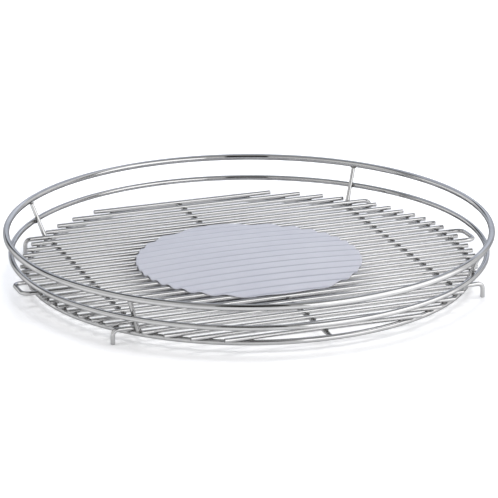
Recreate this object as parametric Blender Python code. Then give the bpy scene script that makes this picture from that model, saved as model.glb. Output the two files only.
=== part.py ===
"""Round wire rack with a railing, two finger loops, four feet and a lift-off centre plate.

Metres, +Z up. The origin is on the surface that the rack stands on, at the rack's centre.
The grid wires run along X. The feet reach Z = 0 and the top rail is the highest piece.
"""
import math

import bmesh
import bpy
from mathutils import Matrix, Vector

MM = 0.001
GAP = 0.3 * MM                      # clearance kept between pieces that touch

# Wire sizes
TOP_WIRE = 6.0 * MM                 # diameter of the top rail's wire
RING_WIRE = 5.0 * MM                # diameter of the middle rail's and base ring's wire
GRID_WIRE = 4.0 * MM                # diameter of every other wire

# Rings, all level and on the same axis
RACK_DIAMETER = 450.0 * MM          # over the top rail
TOP_RADIUS = (RACK_DIAMETER - TOP_WIRE) / 2
MIDDLE_RADIUS = 218.0 * MM
BASE_RADIUS = 204.0 * MM
RAIL_SPACING = 20.0 * MM            # top rail above the middle rail, centre to centre
RAIL_HEIGHT = 38.3 * MM             # top rail above the base ring, centre to centre

# Grid
GRID_HEIGHT = 13.0 * MM             # centre of the grid wires above the ground
PITCH = 14.75 * MM
OUTERMOST_WIRE = 13                 # wires are numbered from -13 to 13 across the rack
TRIM_RADIUS = 212.5 * MM            # the wires' ends are cut to this circle
FOOT_WIRE = 9                       # this wire, on each side, is bent down into two feet
FOOT_X = 175.0 * MM
FOOT_BEND = 5.0 * MM
LOOP_WIRE = 1                       # these two wires are joined at both ends as finger loops
LOOP_X = 221.0 * MM
LOOP_BEND = 7.0 * MM
CROSS_WIRE_X = 150.0 * MM           # outer cross wires from the rack's centre

# Posts, leaning outward from the base ring to the top rail
POST_ANGLE = math.radians(41.9)
POST_BASE_RADIUS = 206.3 * MM
POST_TOP_RADIUS = 219.8 * MM

# Centre plate, pressed into a rib over each wire and slightly domed
PLATE_RADIUS = 104.0 * MM
PLATE_THICKNESS = 1.0 * MM
PLATE_RIB = 2.2 * MM                # height of a rib above the channels beside it
PLATE_CROWN = 3.5 * MM              # rise of the dome from the rim to the centre

# Heights that follow from the sizes above
WIRE_STEP = (GRID_WIRE + RING_WIRE) / 2 + GAP
BASE_Z = GRID_HEIGHT - WIRE_STEP
CROSS_Z = GRID_HEIGHT - GRID_WIRE - GAP
TOP_Z = BASE_Z + RAIL_HEIGHT
MIDDLE_Z = TOP_Z - RAIL_SPACING
PLATE_RIM_Z = GRID_HEIGHT + GRID_WIRE / 2 + GAP + PLATE_THICKNESS - PLATE_RIB

# Facets
RING_SEGMENTS = 72
WIRE_SIDES = 8
BEND_STEPS = 5
FACETS_PER_RIB = 6
PLATE_COLUMNS = 10
RIM_SEGMENTS = 96


def clear_scene():
    for obj in list(bpy.data.objects):
        bpy.data.objects.remove(obj, do_unlink=True)


def metal(name, colour, roughness):
    """A metal material of one colour."""
    material = bpy.data.materials.new(name)
    material.use_nodes = True
    shader = material.node_tree.nodes["Principled BSDF"]
    shader.inputs["Base Color"].default_value = (*colour, 1.0)
    shader.inputs["Metallic"].default_value = 1.0
    shader.inputs["Roughness"].default_value = roughness
    return material


def body_empty(name):
    """An empty that the pieces of one rigid body hang from."""
    empty = bpy.data.objects.new(name, None)
    bpy.context.collection.objects.link(empty)
    return empty


def place(name, data, material, parent, location=(0.0, 0.0, 0.0)):
    """Make one named object from a mesh or a curve."""
    obj = bpy.data.objects.new(name, data)
    bpy.context.collection.objects.link(obj)
    obj.parent = parent
    obj.location = location
    data.materials.append(material)
    return obj


def mesh_from(name, bm):
    """Turn a bmesh into a smooth-shaded mesh with crisp corners."""
    bmesh.ops.recalc_face_normals(bm, faces=bm.faces)
    mesh = bpy.data.meshes.new(name)
    bm.to_mesh(mesh)
    bm.free()
    mesh.shade_smooth()
    mesh.set_sharp_from_angle(angle=math.radians(50))
    return mesh


def ring(name, radius, wire, height, material, parent):
    """A closed ring of round wire, spun about the vertical axis."""
    bm = bmesh.new()
    section = bmesh.ops.create_circle(bm, segments=WIRE_SIDES, radius=wire / 2)
    upright = Matrix.Translation((radius, 0, 0)) @ Matrix.Rotation(math.pi / 2, 4, "X")
    bmesh.ops.transform(bm, matrix=upright, verts=section["verts"])
    bmesh.ops.spin(bm, geom=bm.edges[:], axis=(0, 0, 1), cent=(0, 0, 0), steps=RING_SEGMENTS,
                   angle=math.tau, use_merge=True)
    return place(name, mesh_from(name, bm), material, parent, (0, 0, height))


def straight_wire(name, half_length, along, location, material, parent):
    """A straight wire with square-cut ends, centred on its location."""
    bm = bmesh.new()
    bmesh.ops.create_cone(bm, cap_ends=True, segments=WIRE_SIDES, radius1=GRID_WIRE / 2,
                          radius2=GRID_WIRE / 2, depth=2 * half_length)
    turn = Vector(along).to_track_quat("Z", "Y").to_matrix().to_4x4()
    bmesh.ops.transform(bm, matrix=turn, verts=bm.verts)
    return place(name, mesh_from(name, bm), material, parent, location)


def bend(centre, radius, start, end):
    """Points of an arc in a plane, from one angle to another, as pairs."""
    points = []
    for step in range(BEND_STEPS + 1):
        angle = start + (end - start) * step / BEND_STEPS
        points.append((centre[0] + radius * math.cos(angle), centre[1] + radius * math.sin(angle)))
    return points


def bent_wire(name, points, closed, location, material, parent):
    """A wire that follows a list of points."""
    curve = bpy.data.curves.new(name, "CURVE")
    curve.dimensions = "3D"
    curve.bevel_depth = GRID_WIRE / 2
    curve.bevel_resolution = (WIRE_SIDES - 4) // 2
    curve.use_fill_caps = not closed
    spline = curve.splines.new("POLY")
    spline.points.add(len(points) - 1)
    for target, point in zip(spline.points, points):
        target.co = (*point, 1.0)
    spline.use_cyclic_u = closed
    spline.use_smooth = True
    return place(name, curve, material, parent, location)


def half_width(y, radius):
    """Half the chord of a circle at the distance y from its centre."""
    return math.sqrt(radius * radius - y * y)


def build_rings(steel, rack):
    ring("top_rail", TOP_RADIUS, TOP_WIRE, TOP_Z, steel, rack)
    ring("middle_rail", MIDDLE_RADIUS, RING_WIRE, MIDDLE_Z, steel, rack)
    ring("base_ring", BASE_RADIUS, RING_WIRE, BASE_Z, steel, rack)


def build_grid_wires(steel, rack):
    """The plain straight wires of the grid, numbered from front to rear."""
    number = 0
    for index in range(-OUTERMOST_WIRE, OUTERMOST_WIRE + 1):
        if abs(index) in (FOOT_WIRE, LOOP_WIRE):
            continue
        number += 1
        y = index * PITCH
        straight_wire(f"grid_wire_{number:02d}", half_width(y, TRIM_RADIUS), (1, 0, 0),
                      (0, y, GRID_HEIGHT), steel, rack)


def build_foot_wire(name, y, steel, rack):
    """A grid wire whose two ends are bent straight down as feet."""
    drop = GRID_HEIGHT - FOOT_BEND
    inner = FOOT_X - FOOT_BEND
    right = bend((inner, -FOOT_BEND), FOOT_BEND, math.pi / 2, 0)
    left = bend((-inner, -FOOT_BEND), FOOT_BEND, math.pi, math.pi / 2)
    outline = [(-FOOT_X, -FOOT_BEND - drop), *left, *right, (FOOT_X, -FOOT_BEND - drop)]
    bent_wire(name, [(x, 0, z) for x, z in outline], False, (0, y, GRID_HEIGHT), steel, rack)


def build_finger_loops(steel, rack):
    """One closed wire: two grid wires joined beyond the ring at both ends."""
    inner_x = LOOP_X - LOOP_BEND
    inner_y = LOOP_WIRE * PITCH - LOOP_BEND
    quarter = math.pi / 2
    outline = []
    for turn, sign_x, sign_y in ((0, 1, 1), (1, -1, 1), (2, -1, -1), (3, 1, -1)):
        corner = (sign_x * inner_x, sign_y * inner_y)
        outline += bend(corner, LOOP_BEND, turn * quarter, (turn + 1) * quarter)
    bent_wire("finger_loops", [(x, y, 0) for x, y in outline], True, (0, 0, GRID_HEIGHT),
              steel, rack)


def build_cross_wires(steel, rack):
    """Three wires under the grid, at right angles to it, that end inside the base ring."""
    inside = BASE_RADIUS - RING_WIRE / 2 - GAP
    for name, x in (("left", -CROSS_WIRE_X), ("middle", 0.0), ("right", CROSS_WIRE_X)):
        edge = abs(x) + GRID_WIRE / 2
        straight_wire(f"cross_wire_{name}", half_width(edge, inside), (0, 1, 0),
                      (x, 0, CROSS_Z), steel, rack)


def build_post(name, angle, steel, rack):
    """A leaning post, cut level at both ends, from the base ring up to the top rail."""
    bottom = BASE_Z + RING_WIRE / 2 + GAP
    top = TOP_Z - TOP_WIRE / 2 - GAP
    lean = Vector((POST_TOP_RADIUS - POST_BASE_RADIUS, 0, top - bottom))
    stretch = lean.length / lean.z
    bm = bmesh.new()
    circle = bmesh.ops.create_circle(bm, cap_ends=True, segments=WIRE_SIDES, radius=GRID_WIRE / 2)
    bmesh.ops.scale(bm, vec=(stretch, 1, 1), verts=circle["verts"])
    bmesh.ops.translate(bm, vec=(POST_BASE_RADIUS, 0, bottom), verts=circle["verts"])
    raised = bmesh.ops.extrude_face_region(bm, geom=bm.faces[:], use_keep_orig=True)
    top_verts = [item for item in raised["geom"] if isinstance(item, bmesh.types.BMVert)]
    bmesh.ops.translate(bm, vec=lean, verts=top_verts)
    bmesh.ops.rotate(bm, matrix=Matrix.Rotation(angle, 3, "Z"), verts=bm.verts)
    place(name, mesh_from(name, bm), steel, rack)


def build_posts(steel, rack):
    build_post("post_rear_right", POST_ANGLE, steel, rack)
    build_post("post_rear_left", math.pi - POST_ANGLE, steel, rack)
    build_post("post_front_left", math.pi + POST_ANGLE, steel, rack)
    build_post("post_front_right", -POST_ANGLE, steel, rack)


def plate_height(x, y):
    """Top surface of the centre plate above the channels at its rim."""
    dome = PLATE_CROWN * (1 - (x * x + y * y) / (PLATE_RADIUS * PLATE_RADIUS))
    rib = PLATE_RIB / 2 * (1 + math.cos(math.tau * y / PITCH))
    return dome + rib


def plate_blank():
    """A rectangular sheet with the ribs and the dome, larger than the plate."""
    rib_count = 2 * math.ceil(PLATE_RADIUS / PITCH + 0.5)
    rows = rib_count * FACETS_PER_RIB
    half_y = rib_count * PITCH / 2
    half_x = 1.03 * PLATE_RADIUS
    bm = bmesh.new()
    bmesh.ops.create_grid(bm, x_segments=PLATE_COLUMNS, y_segments=rows, size=1.0)
    for vert in bm.verts:
        x = vert.co.x * half_x
        y = vert.co.y * half_y
        vert.co = (x, y, plate_height(x, y))
    sheet = bmesh.ops.extrude_face_region(bm, geom=bm.faces[:], use_keep_orig=True)
    lower = [item for item in sheet["geom"] if isinstance(item, bmesh.types.BMVert)]
    bmesh.ops.translate(bm, vec=(0, 0, -PLATE_THICKNESS), verts=lower)
    return mesh_from("centre_plate", bm)


def build_centre_plate(steel, plate_body):
    """The blank, trimmed to a circle by an upright cylinder."""
    blank = place("centre_plate", plate_blank(), steel, plate_body)
    bm = bmesh.new()
    bmesh.ops.create_cone(bm, cap_ends=True, segments=RIM_SEGMENTS, radius1=PLATE_RADIUS,
                          radius2=PLATE_RADIUS, depth=20 * PLATE_THICKNESS)
    cutter = place("plate_outline", mesh_from("plate_outline", bm), steel, plate_body)
    cutter.hide_render = True
    cutter.display_type = "WIRE"
    trim = blank.modifiers.new("trim", "BOOLEAN")
    trim.operation = "INTERSECT"
    trim.object = cutter


def build():
    clear_scene()
    polished = metal("polished_wire", (0.80, 0.81, 0.82), 0.12)
    satin = metal("satin_plate", (0.68, 0.68, 0.73), 0.38)
    rack = body_empty("rack")
    plate_body = body_empty("plate")
    plate_body.location = (0, 0, PLATE_RIM_Z)
    build_rings(polished, rack)
    build_grid_wires(polished, rack)
    build_foot_wire("foot_wire_front", -FOOT_WIRE * PITCH, polished, rack)
    build_foot_wire("foot_wire_rear", FOOT_WIRE * PITCH, polished, rack)
    build_finger_loops(polished, rack)
    build_cross_wires(polished, rack)
    build_posts(polished, rack)
    build_centre_plate(satin, plate_body)


build()
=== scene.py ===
"""Looks for the round wire rack: fine wires, weld nuggets, a ribbed plate and a soft studio."""

import math
import random

import bmesh
import bpy
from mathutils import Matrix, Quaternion, Vector, noise as lumps


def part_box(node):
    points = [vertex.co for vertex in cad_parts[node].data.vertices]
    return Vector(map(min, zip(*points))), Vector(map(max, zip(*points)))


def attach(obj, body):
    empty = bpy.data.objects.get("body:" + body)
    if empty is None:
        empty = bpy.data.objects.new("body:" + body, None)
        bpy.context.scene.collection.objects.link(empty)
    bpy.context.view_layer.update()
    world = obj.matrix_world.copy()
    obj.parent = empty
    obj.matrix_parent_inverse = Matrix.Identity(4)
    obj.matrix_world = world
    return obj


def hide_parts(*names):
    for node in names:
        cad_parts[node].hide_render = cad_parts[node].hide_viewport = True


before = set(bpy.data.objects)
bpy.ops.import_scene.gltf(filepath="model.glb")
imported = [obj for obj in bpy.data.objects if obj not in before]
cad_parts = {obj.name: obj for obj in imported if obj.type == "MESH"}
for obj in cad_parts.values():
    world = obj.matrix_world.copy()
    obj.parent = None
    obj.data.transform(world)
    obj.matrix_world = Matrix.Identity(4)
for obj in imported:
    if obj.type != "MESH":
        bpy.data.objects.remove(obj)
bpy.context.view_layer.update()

MM = 0.001
UP = Vector((0, 0, 1))

# Camera
VIEW_AZIMUTH = math.radians(20.4)
VIEW_ELEVATION = math.radians(18.43)
VIEW_DISTANCE = 2.812
VIEW_TARGET = (0.0, 0.0, 0.0248)
VIEW_LENS = 221.3
VIEW_ROLL = math.radians(-0.13)

# Detail of the wires
WIRE_SIDES = 24
RING_SEGMENTS = 288
END_ROUNDING = 0.35 * MM
STAGGER = 0.0115                    # wires drift along their length by this much of their Y
END_TRIM = 2.4 * MM                 # cut from each end of the middle wires
TRIM_REACH = 0.19                   # distance from the middle wire at which nothing is cut
CUT_SCATTER = 1.0 * MM              # each end is cut shorter still by up to this
FOOT_BEND = 5.0 * MM                # bend radii, on the wire's centre line
LOOP_BEND = 7.0 * MM
POST_RADIUS = 2.0 * MM
POST_SINK_LOW = 0.8 * MM            # how far a post runs on into the base ring
POST_SINK_HIGH = 1.8 * MM           # and into the top rail
DIE_LINE_SCALE = 900                # noise scale of the fine lines along a wire
DIE_LINE_STRETCH = 0.05             # the noise's scale along a straight wire, against across it
RING_LINE_STRETCH = 0.01            # the same for a ring, in metres of noise for each radian

# Centre plate
PLATE_THICKNESS = 1.0 * MM
PLATE_RIB = 2.2 * MM
PLATE_CROWN = 3.5 * MM
PLATE_EDGE = 0.25 * MM              # rounding of the rim
PLATE_SECTORS = 600
PLATE_STEPS = 76                    # steps from the middle to the rim, on top
PITCH = 14.75 * MM                  # of the wires, and so of the plate's ribs

# Weld nuggets: half sizes as length, width and depth
CROSS_NUGGET = (1.9 * MM, 1.8 * MM, 1.0 * MM)       # grid wire on a cross wire
CROSS_NUGGET_DROP = 0.1 * MM                        # centre below the grid wire's underside
CROSS_END_NUGGET = (2.0 * MM, 1.3 * MM, 1.5 * MM)   # end of a cross wire
CROSS_END_RISE = 1.8 * MM                           # centre above the cross wire's underside
RING_NUGGET = (1.4 * MM, 1.5 * MM, 0.8 * MM)        # grid wire on the base ring
RING_NUGGET_DROP = 0.15 * MM
SLANT_LIMIT = 0.6                                   # a slant lengthens it 1 / 0.6 times at most
POST_FOOT_NUGGET = (2.7 * MM, 2.5 * MM, 0.9 * MM)   # post on the base ring
POST_TOP_NUGGET = (3.0 * MM, 1.9 * MM, 1.3 * MM)    # post under the top rail
POST_TOP_RISE = 0.9 * MM
POST_SIDE_NUGGET = (3.0 * MM, 1.1 * MM, 2.0 * MM)   # post against the middle rail
POST_SIDE_SHIFT = 0.1 * MM
NUGGET_LUMPS = 0.16                                 # swelling, as a part of the radius
LUMP_SCALE = 1.7
LUMP_RANGE = 50                                     # side of the noise's cube they start in

# Floor: strength of its own glow at distances (metres) from the middle of the rack. The glow is
# none under the plate and dim below the rails, which paints shadow there: a dark patch under the
# plate and a soft band round the base ring, so that the shadows aren't washed out.
FLOOR_GLOW_AND_PAINTED_SHADOW = (
    (0.095, 0.0), (0.12, 0.30), (0.135, 0.36), (0.19, 0.28), (0.215, 0.12),
    (0.243, 0.14), (0.27, 0.32), (0.30, 0.40), (0.60, 0.45),
)
FLOOR_RADIUS = 12.0

# Studio light
NEUTRAL = (1.0, 1.0, 1.0)
COOL = (0.92, 0.97, 1.09)

# Far surroundings: centre, half width, lowest, highest, softness (degrees), brightness, tint.
# Each covers the ones before it; azimuths run to the right from the camera.
SURROUNDINGS = (
    (0, 180, -90, 90, 1, 0.50, NEUTRAL),           # dim room
    (0, 60, -90, 40, 10, 0.95, NEUTRAL),           # front
    (120, 25, -90, 60, 8, 1.30, NEUTRAL),          # right, behind
    (-120, 30, -90, 24, 6, 1.55, NEUTRAL),         # left, behind
    (-130, 30, 28, 72, 5, 0.05, NEUTRAL),          # black drape above that
    (180, 32, -90, 45, 8, 1.80, COOL),             # backdrop
    (-156, 9, 12, 52, 3, 0.10, NEUTRAL),           # black drapes at the backdrop's sides
    (153, 10, 29, 54, 3, 0.05, NEUTRAL),
)

# Near panels: corners (metres right of the rack, towards the camera, and up), brightness, tint.
# A panel of no brightness only darkens what mirrors it, and the overhead one isn't mirrored.
UNMIRRORED_PANEL = "overhead"
PANELS = {
    "soft_box": (((0.43, 0.96, 0.05), (0.58, -0.04, 0.05),
                  (0.58, -0.04, 0.85), (0.43, 0.96, 0.85)),
                 2.4, NEUTRAL),
    "reflector": (((-0.43, 0.96, 0.02), (-0.58, -0.04, 0.02),
                   (-0.58, -0.04, 0.85), (-0.43, 0.96, 0.85)),
                  1.05, NEUTRAL),
    "rear_panel": (((-0.5, -0.35, 0.55), (0.5, -0.35, 0.55),
                    (0.5, -0.85, 0.50), (-0.5, -0.85, 0.50)),
                   0.9, COOL),
    "overhead": (((-0.36, 0.36, 1.6), (0.36, 0.36, 1.6),
                  (0.36, -0.36, 1.6), (-0.36, -0.36, 1.6)),
                 5.3, NEUTRAL),
    "black_flag": (((-0.09, 0.43, 0.175), (0.11, 0.43, 0.175),
                    (0.11, 0.27, 0.95), (-0.09, 0.27, 0.95)),
                   0.0, NEUTRAL),
}

RNG = random.Random(7)


# ---------------------------------------------------------------- node helpers

# A Mix node's colour sockets share their names with its other sockets.
MIX_COLOUR_A, MIX_COLOUR_B, MIX_COLOUR_RESULT = 6, 7, 2


def new_material(name):
    material = bpy.data.materials.new(name)
    material.use_nodes = True
    tree = material.node_tree
    return material, tree, tree.nodes["Principled BSDF"]


def add_node(tree, kind, **settings):
    """Add a shader node; a setting whose name is an input socket sets that socket."""
    node = tree.nodes.new(kind)
    for key, value in settings.items():
        if key in node.inputs:
            node.inputs[key].default_value = value
        else:
            setattr(node, key, value)
    return node


def object_coordinates(tree, scale):
    """Object coordinates stretched by a scale for each axis."""
    source = add_node(tree, "ShaderNodeTexCoord")
    mapping = add_node(tree, "ShaderNodeMapping")
    mapping.inputs["Scale"].default_value = scale
    tree.links.new(source.outputs["Object"], mapping.inputs["Vector"])
    return mapping.outputs["Vector"]


def noise(tree, vector, scale, detail, roughness=0.5):
    node = add_node(tree, "ShaderNodeTexNoise")
    node.inputs["Scale"].default_value = scale
    node.inputs["Detail"].default_value = detail
    node.inputs["Roughness"].default_value = roughness
    tree.links.new(vector, node.inputs["Vector"])
    return node.outputs["Fac"]


def remap(tree, value, low, high, to_low, to_high):
    node = add_node(tree, "ShaderNodeMapRange")
    for socket, number in (("From Min", low), ("From Max", high),
                           ("To Min", to_low), ("To Max", to_high)):
        node.inputs[socket].default_value = number
    tree.links.new(value, node.inputs["Value"])
    return node.outputs["Result"]


def smooth_step(tree, value, low, high):
    """0 at low, 1 at high and smooth between them; low may be the larger one."""
    node = add_node(tree, "ShaderNodeMapRange", interpolation_type="SMOOTHSTEP")
    node.inputs["From Min"].default_value = low
    node.inputs["From Max"].default_value = high
    tree.links.new(value, node.inputs["Value"])
    return node.outputs["Result"]


def maths(tree, operation, first, second=None, third=None):
    """A Math node; each operand is a number or another node's output."""
    node = add_node(tree, "ShaderNodeMath", operation=operation)
    for socket, value in zip(node.inputs, (first, second, third)):
        if isinstance(value, (int, float)):
            socket.default_value = value
        elif value is not None:
            tree.links.new(value, socket)
    return node.outputs["Value"]


def ramp(tree, value, stops):
    """A colour ramp from (position, colour) pairs."""
    node = add_node(tree, "ShaderNodeValToRGB")
    elements = node.color_ramp.elements
    elements[0].position, elements[0].color = stops[0][0], (*stops[0][1], 1)
    elements[1].position, elements[1].color = stops[-1][0], (*stops[-1][1], 1)
    for position, colour in stops[1:-1]:
        element = elements.new(position)
        element.color = (*colour, 1)
    tree.links.new(value, node.inputs["Fac"])
    return node.outputs["Color"]


def split_position(tree):
    """The outputs X, Y and Z of the object coordinates."""
    split = add_node(tree, "ShaderNodeSeparateXYZ")
    tree.links.new(object_coordinates(tree, (1, 1, 1)), split.inputs["Vector"])
    return split.outputs


def mix_colours(tree, factor, first, second, blend="MIX"):
    """A colour output mixed with a fixed colour."""
    node = add_node(tree, "ShaderNodeMix", data_type="RGBA", blend_type=blend)
    tree.links.new(factor, node.inputs["Factor"])
    tree.links.new(first, node.inputs[MIX_COLOUR_A])
    node.inputs[MIX_COLOUR_B].default_value = (*second, 1)
    return node.outputs[MIX_COLOUR_RESULT]


def bump(tree, shader, height, strength, distance):
    node = add_node(tree, "ShaderNodeBump", Strength=strength, Distance=distance)
    tree.links.new(height, node.inputs["Height"])
    tree.links.new(node.outputs["Normal"], shader.inputs["Normal"])


# ---------------------------------------------------------------- materials

def polished_wire(name, along=None):
    """Drawn and electropolished stainless wire: faint die lines along it, a little unevenness.

    The lines run along the given axis (0 to 2 for X to Z), or round the rack where none is given.
    """
    material, tree, shader = new_material(name)
    shader.inputs["Metallic"].default_value = 1.0
    shader.inputs["Specular Tint"].default_value = (0.35, 0.35, 0.35, 1)
    cloud = noise(tree, object_coordinates(tree, (1, 1, 1)), 60, 3)
    tint = ramp(tree, cloud, [(0.3, (0.42, 0.42, 0.425)), (0.7, (0.47, 0.47, 0.47))])
    tree.links.new(tint, shader.inputs["Base Color"])
    if along is None:
        place = split_position(tree)
        flat = maths(tree, "ADD", maths(tree, "MULTIPLY", place["X"], place["X"]),
                     maths(tree, "MULTIPLY", place["Y"], place["Y"]))
        turn = maths(tree, "ARCTAN2", place["Y"], place["X"])
        join = add_node(tree, "ShaderNodeCombineXYZ")
        tree.links.new(maths(tree, "SQRT", flat), join.inputs["X"])
        tree.links.new(maths(tree, "MULTIPLY", turn, RING_LINE_STRETCH), join.inputs["Y"])
        tree.links.new(place["Z"], join.inputs["Z"])
        vector = join.outputs["Vector"]
    else:
        stretch = [1.0, 1.0, 1.0]
        stretch[along] = DIE_LINE_STRETCH
        vector = object_coordinates(tree, stretch)
    lines = noise(tree, vector, DIE_LINE_SCALE, 2)
    tree.links.new(remap(tree, lines, 0.3, 0.7, 0.04, 0.09), shader.inputs["Roughness"])
    bump(tree, shader, lines, 0.08, 0.0001)
    return material


def cut_metal_and_rim_shade():
    """Duller metal of the wires' ends, cut by shearing, with fine burr lines; its dark colour also
    paints the shade at the plate's rim.
    """
    material, tree, shader = new_material("cut_end_and_rim_shade")
    shader.inputs["Metallic"].default_value = 1.0
    lines = noise(tree, object_coordinates(tree, (1, 0.3, 1)), 2500, 2)
    tree.links.new(ramp(tree, lines, [(0.3, (0.17, 0.17, 0.175)), (0.7, (0.27, 0.27, 0.275))]),
                   shader.inputs["Base Color"])
    tree.links.new(remap(tree, lines, 0.3, 0.7, 0.28, 0.45), shader.inputs["Roughness"])
    bump(tree, shader, lines, 0.25, 0.0002)
    return material


def weld_metal():
    """Heat-tinted, rougher metal of the spot-weld nuggets."""
    material, tree, shader = new_material("weld_nugget")
    shader.inputs["Metallic"].default_value = 1.0
    grain = noise(tree, object_coordinates(tree, (1, 1, 1)), 700, 4, 0.6)
    tint = ramp(tree, grain, [(0.3, (0.09, 0.085, 0.08)), (0.55, (0.20, 0.195, 0.19)),
                              (0.8, (0.36, 0.36, 0.37))])
    tree.links.new(tint, shader.inputs["Base Color"])
    tree.links.new(remap(tree, grain, 0.2, 0.8, 0.30, 0.55), shader.inputs["Roughness"])
    bump(tree, shader, grain, 0.3, 0.0003)
    return material


def satin_plate():
    """Pressed sheet with a fine-blasted, pale blue-grey satin surface.

    The bottoms of the channels are darkened with painted shade, less so towards the plate's left
    side.
    """
    material, tree, shader = new_material("satin_plate")
    shader.inputs["Metallic"].default_value = 0.25
    cloud = noise(tree, object_coordinates(tree, (1, 1, 1)), 25, 4, 0.55)
    tint = ramp(tree, cloud, [(0.3, (0.477, 0.485, 0.548)), (0.7, (0.507, 0.515, 0.573))])
    place = split_position(tree)
    wave = maths(tree, "COSINE", maths(tree, "MULTIPLY", place["Y"], math.tau / PITCH))
    # painted shade: the channels' bottoms are darkened, fading towards the plate's left side
    channel = smooth_step(tree, wave, -0.62, -0.98)
    fade = remap(tree, place["X"], -0.10, 0.02, 0.35, 1.0)
    painted_channel_shade = mix_colours(tree, maths(tree, "MULTIPLY", channel, fade), tint, (0.70, 0.71, 0.72),
                         "MULTIPLY")
    tree.links.new(painted_channel_shade, shader.inputs["Base Color"])
    grain = noise(tree, object_coordinates(tree, (1, 1, 1)), 1800, 2)
    tree.links.new(remap(tree, grain, 0.3, 0.7, 0.58, 0.68), shader.inputs["Roughness"])
    bump(tree, shader, grain, 0.12, 0.0002)
    return material


def floor_material():
    """Pale, slightly glossy studio surface, whose glow varies with distance and paints shadow under
    the plate and the rails.
    """
    material, tree, shader = new_material("pale_floor")
    shader.inputs["Base Color"].default_value = (0.85, 0.85, 0.86, 1)
    shader.inputs["Roughness"].default_value = 0.35
    shader.inputs["Emission Color"].default_value = (1, 1, 1, 1)
    distance = add_node(tree, "ShaderNodeVectorMath", operation="LENGTH")
    tree.links.new(object_coordinates(tree, (1, 1, 1)), distance.inputs[0])
    stops = [(place, (level, level, level)) for place, level in FLOOR_GLOW_AND_PAINTED_SHADOW]
    # the ramp paints shadow: no glow under the plate and less below the rails
    glow = ramp(tree, distance.outputs["Value"], stops)
    tree.links.new(glow, shader.inputs["Emission Strength"])
    return material


# ---------------------------------------------------------------- mesh helpers

def add_object(name, mesh, materials, body):
    obj = bpy.data.objects.new(name, mesh)
    bpy.context.scene.collection.objects.link(obj)
    for material in materials:
        mesh.materials.append(material)
    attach(obj, body)
    return obj


def finish_mesh(name, bm, crisp=40):
    """A smooth-shaded mesh, with its edges sharp above an angle in degrees."""
    bmesh.ops.recalc_face_normals(bm, faces=bm.faces)
    mesh = bpy.data.meshes.new(name)
    bm.to_mesh(mesh)
    bm.free()
    mesh.shade_smooth()
    mesh.set_sharp_from_angle(angle=math.radians(crisp))
    return mesh


def section_ring(bm, centre, tangent, up, radius, sides):
    """A circle of vertices square to the wire's direction."""
    side = tangent.cross(up).normalized()
    rise = side.cross(tangent).normalized()
    verts = []
    for step in range(sides):
        angle = math.tau * step / sides
        spoke = math.cos(angle) * side + math.sin(angle) * rise
        verts.append(bm.verts.new(centre + radius * spoke))
    return verts


def skin(bm, first, second):
    """Faces between two circles of vertices."""
    count = len(first)
    for step in range(count):
        after = (step + 1) % count
        bm.faces.new((first[step], first[after], second[after], second[step]))


def tube_mesh(name, points, radius, up=(0, 0, 1), closed=False, sides=WIRE_SIDES):
    """A round wire along a path of points; open ends are cut square with a small rounded edge."""
    bm = bmesh.new()
    up = Vector(up)
    path = [Vector(point) for point in points]
    count = len(path)
    rings = []
    for index, point in enumerate(path):
        before = path[index - 1] if index or closed else point
        after = path[(index + 1) % count] if index + 1 < count or closed else point
        tangent = (after - before).normalized()
        rings.append(section_ring(bm, point, tangent, up, radius, sides))
    if not closed:
        for end, neighbour in ((0, 1), (-1, -2)):
            outward = (path[end] - path[neighbour]).normalized()
            for vert in rings[end]:
                vert.co -= outward * END_ROUNDING
            tip = [path[end] + (vert.co + outward * END_ROUNDING - path[end])
                   * (1 - END_ROUNDING / radius) for vert in rings[end]]
            cap = [bm.verts.new(co) for co in tip]
            if end == 0:
                rings.insert(0, cap)
            else:
                rings.append(cap)
    for first, second in zip(rings, rings[1:]):
        skin(bm, first, second)
    if closed:
        skin(bm, rings[-1], rings[0])
    else:
        bm.faces.new(rings[0]).material_index = 1
        bm.faces.new(rings[-1]).material_index = 1
    return finish_mesh(name, bm)


def arc(centre, radius, start, end, steps=10):
    """Flat points along an arc, from one angle to another."""
    points = []
    for step in range(steps + 1):
        angle = start + (end - start) * step / steps
        points.append((centre[0] + radius * math.cos(angle),
                       centre[1] + radius * math.sin(angle)))
    return points


# ---------------------------------------------------------------- wires

def build_ring(name, node, material):
    """A fine ring in place of a faceted one."""
    low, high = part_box(node)
    radius = (high.z - low.z) / 2
    centre_radius = (high.x - low.x) / 2 - radius
    height = (high.z + low.z) / 2
    points = []
    for step in range(RING_SEGMENTS):
        angle = math.tau * step / RING_SEGMENTS
        points.append((centre_radius * math.cos(angle), centre_radius * math.sin(angle), height))
    ring = add_object(name, tube_mesh(name, points, radius, closed=True), [material], "rack")
    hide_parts(node)


def build_straight(name, node, materials, axis):
    """A fine straight wire along X (axis 0) or Y, with ends that vary a little as cut by hand."""
    low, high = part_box(node)
    middle = (low + high) / 2
    radius = (high.z - low.z) / 2
    half = (high - low)[axis] / 2
    drift, trim = 0.0, 0.0
    if axis == 0:
        drift = STAGGER * middle.y
        trim = END_TRIM * max(0.0, 1 - (middle.y / TRIM_REACH) ** 2)
    points = []
    for sign in (-1, 1):
        point = middle.copy()
        point[axis] += drift + sign * (half - trim - RNG.uniform(0, CUT_SCATTER))
        points.append(point)
    wire = add_object(name, tube_mesh(name, points, radius), materials, "rack")
    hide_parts(node)


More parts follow.
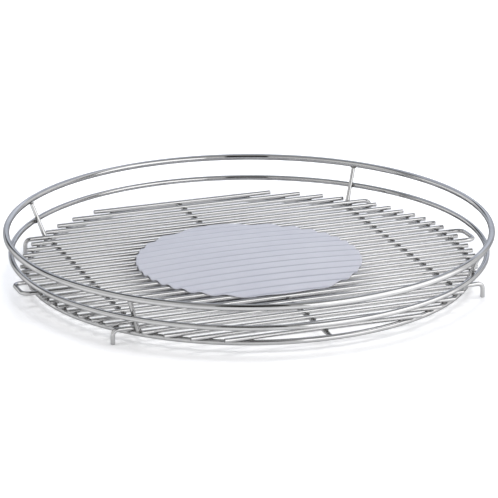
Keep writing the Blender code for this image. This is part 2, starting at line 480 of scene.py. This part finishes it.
def build_foot_wire(name, node, materials):
    """A grid wire bent down at both ends as feet."""
    low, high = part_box(node)
    radius = (high.y - low.y) / 2
    y = (low.y + high.y) / 2
    foot_x = high.x - radius
    wire_z = high.z - radius
    inner = foot_x - FOOT_BEND
    left = arc((-inner, wire_z - FOOT_BEND), FOOT_BEND, math.pi, math.pi / 2)
    right = arc((inner, wire_z - FOOT_BEND), FOOT_BEND, math.pi / 2, 0)
    outline = [(-foot_x, low.z), *left, *right, (foot_x, low.z)]
    mesh = tube_mesh(name, [(x, y, z) for x, z in outline], radius, up=(0, 1, 0))
    wire = add_object(name, mesh, materials, "rack")
    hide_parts(node)


def build_loops(name, node, material):
    """The closed wire whose two ends are the finger loops."""
    low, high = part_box(node)
    radius = (high.z - low.z) / 2
    inner_x = high.x - radius - LOOP_BEND
    inner_y = high.y - radius - LOOP_BEND
    height = (low.z + high.z) / 2
    outline = []
    for turn, sign_x, sign_y in ((0, 1, 1), (1, -1, 1), (2, -1, -1), (3, 1, -1)):
        outline += arc((sign_x * inner_x, sign_y * inner_y), LOOP_BEND,
                       turn * math.pi / 2, (turn + 1) * math.pi / 2)
    mesh = tube_mesh(name, [(x, y, height) for x, y in outline], radius, closed=True)
    loops = add_object(name, mesh, [material], "rack")
    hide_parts(node)


def post_line(node):
    """A post's lower and upper ends on its centre line, and the direction away from the middle."""
    low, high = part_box(node)
    centre = (low + high) / 2
    outward = Vector((centre.x, centre.y, 0)).normalized()
    lean = ((high.x - low.x) / 2 - POST_RADIUS) / abs(outward.x)
    bottom = Vector((centre.x, centre.y, low.z)) - outward * lean
    top = Vector((centre.x, centre.y, high.z)) + outward * lean
    return bottom, top, outward


def build_post(name, node, materials):
    """A post that runs from inside the base ring's top to inside the top rail's underside."""
    bottom, top, outward = post_line(node)
    slope = (top - bottom) / (top.z - bottom.z)
    ends = [bottom - slope * POST_SINK_LOW, top + slope * POST_SINK_HIGH]
    mesh = tube_mesh(name, ends, POST_RADIUS, up=outward.cross(UP))
    post = add_object(name, mesh, materials, "rack")
    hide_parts(node)


# ---------------------------------------------------------------- welds

def add_nugget(bm, centre, size, along, across, depth):
    """A squeezed-out, slightly lumpy bead; size holds its half sizes in the three directions."""
    made = bmesh.ops.create_icosphere(bm, subdivisions=3, radius=1.0)
    phase = Vector((RNG.uniform(0, LUMP_RANGE), RNG.uniform(0, LUMP_RANGE),
                    RNG.uniform(0, LUMP_RANGE)))
    for vert in made["verts"]:
        local = vert.co * (1.0 + NUGGET_LUMPS * lumps.noise(vert.co * LUMP_SCALE + phase))
        vert.co = (centre + along * size[0] * local.x + across * size[1] * local.y
                   + depth * size[2] * local.z)


def add_weld_group(name, places, material):
    """One piece with a nugget at each place: its centre, half sizes and three directions."""
    bm = bmesh.new()
    for place in places:
        add_nugget(bm, *place)
    group = add_object(name, finish_mesh(name, bm, 180), [material], "rack")


def level_nugget(x, y, z, size):
    """A nugget's place where its length lies along X."""
    return Vector((x, y, z)), size, Vector((1, 0, 0)), Vector((0, 1, 0)), UP


def grid_rows():
    """Y of every wire across the grid, with the finger loops' two wires."""
    rows = []
    for node in sorted(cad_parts):
        if node.startswith(("grid_wire", "foot_wire")):
            low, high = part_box(node)
            rows.append((low.y + high.y) / 2)
    low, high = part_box("finger_loops")
    radius = (high.z - low.z) / 2
    return rows + [low.y + radius, high.y - radius]


def cross_weld_places(rows, wire_low):
    places = []
    for node in ("cross_wire_left", "cross_wire_middle", "cross_wire_right"):
        low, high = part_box(node)
        x = (low.x + high.x) / 2
        for y in rows:
            if low.y < y < high.y:
                places.append(level_nugget(x, y, wire_low - CROSS_NUGGET_DROP, CROSS_NUGGET))
        for y in (low.y, high.y):
            places.append(level_nugget(x, y, low.z + CROSS_END_RISE, CROSS_END_NUGGET))
    return places


def ring_weld_places(rows, wire_low):
    low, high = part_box("base_ring")
    ring_radius = high.x - (high.z - low.z) / 2
    length, width, depth = RING_NUGGET
    places = []
    for y in rows:
        x = math.sqrt(ring_radius ** 2 - y * y)
        size = (length / max(SLANT_LIMIT, x / ring_radius), width, depth)
        for side in (-1, 1):
            places.append(level_nugget(side * x, y, wire_low - RING_NUGGET_DROP, size))
    return places


def post_weld_places():
    low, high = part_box("middle_rail")
    rail_z = (low.z + high.z) / 2
    rail_inner = high.x - (high.z - low.z)
    places = []
    for node in sorted(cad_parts):
        if node.startswith("post"):
            bottom, top, outward = post_line(node)
            directions = (outward.cross(UP), outward, UP)
            contact = outward * (rail_inner + POST_SIDE_SHIFT) + UP * rail_z
            places.append((bottom, POST_FOOT_NUGGET, *directions))
            places.append((top + UP * POST_TOP_RISE, POST_TOP_NUGGET, *directions))
            places.append((contact, POST_SIDE_NUGGET, *directions))
    return places


def build_welds():
    metal = weld_metal()
    rows = grid_rows()
    wire_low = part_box("grid_wire_12")[0].z
    add_weld_group("cross_welds", cross_weld_places(rows, wire_low), metal)
    add_weld_group("ring_welds", ring_weld_places(rows, wire_low), metal)
    add_weld_group("post_welds", post_weld_places(), metal)


# ---------------------------------------------------------------- plate

def plate_height(x, y, radius):
    """The sheet's height above its lowest point: a dome with a rib over each wire."""
    dome = PLATE_CROWN * (1 - (x * x + y * y) / (radius * radius))
    return dome + PLATE_RIB / 2 * (1 + math.cos(math.tau * y / PITCH))


def build_plate(name, node, materials):
    """The pressed plate: a fine disc whose rim is rounded over."""
    low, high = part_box(node)
    radius = (high.x - low.x) / 2
    floor_z = low.z
    bm = bmesh.new()

    def distances(count):
        """From the start of the rim's rounding in to the smallest circle."""
        return [radius - PLATE_EDGE] + [radius * step / count for step in range(count - 1, 0, -1)]

    def circle(distance, lift):
        """A circle of vertices that follows the sheet's height."""
        verts = []
        for step in range(PLATE_SECTORS):
            angle = math.tau * step / PLATE_SECTORS
            x, y = distance * math.cos(angle), distance * math.sin(angle)
            verts.append(bm.verts.new((x, y, floor_z + plate_height(x, y, radius) + lift)))
        return verts

    top = [circle(distance, PLATE_THICKNESS) for distance in reversed(distances(PLATE_STEPS))]
    bottom = [circle(distance, 0) for distance in distances(PLATE_STEPS // 2)]
    rim_top = circle(radius, PLATE_THICKNESS - PLATE_EDGE)
    rim_bottom = circle(radius, PLATE_EDGE)
    rings = top + [rim_top, rim_bottom] + bottom
    for first, second in zip(rings, rings[1:]):
        faces_before = len(bm.faces)
        skin(bm, first, second)
        # the rim's faces take the dark cut-end metal, which paints the shade where the rim arches
        # over the wires
        if first is rim_top:
            bm.faces.ensure_lookup_table()
            for face in bm.faces[faces_before:]:
                face.material_index = 1
    bm.faces.new(rings[0])
    bm.faces.new(rings[-1])
    plate = add_object(name, finish_mesh(name, bm, 60), materials, "plate")
    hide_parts(node)


# ---------------------------------------------------------------- studio

def build_floor():
    bm = bmesh.new()
    bmesh.ops.create_circle(bm, cap_ends=True, segments=96, radius=FLOOR_RADIUS)
    floor = bpy.data.objects.new("floor", finish_mesh("floor", bm))
    bpy.context.scene.collection.objects.link(floor)
    floor.data.materials.append(floor_material())


def patch_mask(tree, azimuth, elevation, centre, half, low, high, soft):
    """1 inside a patch of sky, 0 outside, with soft edges; all in degrees."""
    turn = maths(tree, "WRAP", maths(tree, "SUBTRACT", azimuth, centre), 180.0, -180.0)
    across = smooth_step(tree, maths(tree, "ABSOLUTE", turn), half + soft, half - soft)
    middle, reach = (low + high) / 2, (high - low) / 2
    rise = maths(tree, "ABSOLUTE", maths(tree, "SUBTRACT", elevation, middle))
    return maths(tree, "MULTIPLY", across, smooth_step(tree, rise, reach + soft, reach - soft))


def studio_point(right, forward, z):
    """A place given by its distances to the right of the rack's middle and towards the camera."""
    return Vector((right * math.cos(VIEW_AZIMUTH) - forward * math.sin(VIEW_AZIMUTH),
                   -right * math.sin(VIEW_AZIMUTH) - forward * math.cos(VIEW_AZIMUTH), z))


def build_panel(name, corners, level, tint):
    """A flat panel of even brightness, seen only by what it lights or is mirrored in."""
    bm = bmesh.new()
    bm.faces.new([bm.verts.new(studio_point(*corner)) for corner in corners])
    mesh = bpy.data.meshes.new(name)
    bm.to_mesh(mesh)
    bm.free()
    material, tree, shader = new_material(name)
    shader.inputs["Base Color"].default_value = (0, 0, 0, 1)
    shader.inputs["Roughness"].default_value = 1.0
    shader.inputs["Specular IOR Level"].default_value = 0.0
    shader.inputs["Emission Color"].default_value = (*tint, 1)
    shader.inputs["Emission Strength"].default_value = level
    mesh.materials.append(material)
    panel = bpy.data.objects.new(name, mesh)
    bpy.context.scene.collection.objects.link(panel)
    panel.visible_camera = False
    panel.visible_shadow = False
    if level == 0.0:
        panel.visible_diffuse = False
    if name == UNMIRRORED_PANEL:
        panel.visible_glossy = False


def build_world():
    """Soft patches of light far round the rack; the camera itself sees plain white instead."""
    world = bpy.data.worlds.new("studio")
    bpy.context.scene.world = world
    world.use_nodes = True
    tree = world.node_tree
    direction = add_node(tree, "ShaderNodeTexCoord").outputs["Generated"]
    split = add_node(tree, "ShaderNodeSeparateXYZ")
    tree.links.new(direction, split.inputs["Vector"])
    forward = maths(tree, "MULTIPLY", split.outputs["Y"], -1.0)
    around = maths(tree, "ARCTAN2", split.outputs["X"], forward)
    azimuth = maths(tree, "ADD", maths(tree, "MULTIPLY", around, 180 / math.pi),
                    math.degrees(VIEW_AZIMUTH))
    elevation = maths(tree, "MULTIPLY", maths(tree, "ARCSINE", split.outputs["Z"]), 180 / math.pi)
    colour = None
    for centre, half, low, high, soft, level, tint in SURROUNDINGS:
        shade = tuple(level * part for part in tint)
        if colour is None:
            node = add_node(tree, "ShaderNodeRGB")
            node.outputs["Color"].default_value = (*shade, 1)
            colour = node.outputs["Color"]
            continue
        mask = patch_mask(tree, azimuth, elevation, centre, half, low, high, soft)
        colour = mix_colours(tree, mask, colour, shade)
    background = tree.nodes["Background"]
    tree.links.new(colour, background.inputs["Color"])
    plain = add_node(tree, "ShaderNodeBackground")
    plain.inputs["Color"].default_value = (1, 1, 1, 1)
    choose = add_node(tree, "ShaderNodeMixShader")
    tree.links.new(add_node(tree, "ShaderNodeLightPath").outputs["Is Camera Ray"], choose.inputs[0])
    tree.links.new(background.outputs[0], choose.inputs[1])
    tree.links.new(plain.outputs[0], choose.inputs[2])
    tree.links.new(choose.outputs[0], tree.nodes["World Output"].inputs["Surface"])


def build_camera():
    camera = bpy.data.objects.new("camera", bpy.data.cameras.new("camera"))
    camera.data.lens = VIEW_LENS
    camera.data.sensor_width = 36.0
    target = Vector(VIEW_TARGET)
    back = Vector((-math.sin(VIEW_AZIMUTH) * math.cos(VIEW_ELEVATION),
                   -math.cos(VIEW_AZIMUTH) * math.cos(VIEW_ELEVATION),
                   math.sin(VIEW_ELEVATION)))
    camera.location = target + back * VIEW_DISTANCE
    aim = (-back).to_track_quat("-Z", "Y")
    camera.rotation_euler = (aim @ Quaternion((0, 0, 1), VIEW_ROLL)).to_euler()
    bpy.context.scene.collection.objects.link(camera)
    bpy.context.scene.camera = camera


# ---------------------------------------------------------------- build

def build_rack():
    rail = polished_wire("rail_wire")
    cut_and_rim_shade = cut_metal_and_rim_shade()
    grid = [polished_wire("grid_wire", 0), cut_and_rim_shade]
    cross = [polished_wire("cross_wire", 1), cut_and_rim_shade]
    upright = [polished_wire("post_wire", 2), cut_and_rim_shade]
    for name in ("top_rail", "middle_rail", "base_ring"):
        build_ring(f"{name}_wire", name, rail)
    for node in sorted(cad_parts):
        if node.startswith("grid_wire"):
            build_straight(node.replace("grid_wire", "grid_rod"), node, grid, 0)
        elif node.startswith("cross_wire"):
            build_straight(node.replace("cross_wire", "cross_rod"), node, cross, 1)
        elif node.startswith("foot_wire"):
            build_foot_wire(node.replace("foot_wire", "foot_rod"), node, grid)
        elif node.startswith("post"):
            build_post(node.replace("post", "upright"), node, upright)
    build_loops("finger_loop_wire", "finger_loops", grid[0])
    build_plate("ribbed_plate", "centre_plate", [satin_plate(), cut_and_rim_shade])
    build_welds()


build_camera()
build_world()
build_floor()
for name, settings in PANELS.items():
    build_panel(name, *settings)
build_rack()
bpy.context.scene.view_settings.view_transform = "Standard"
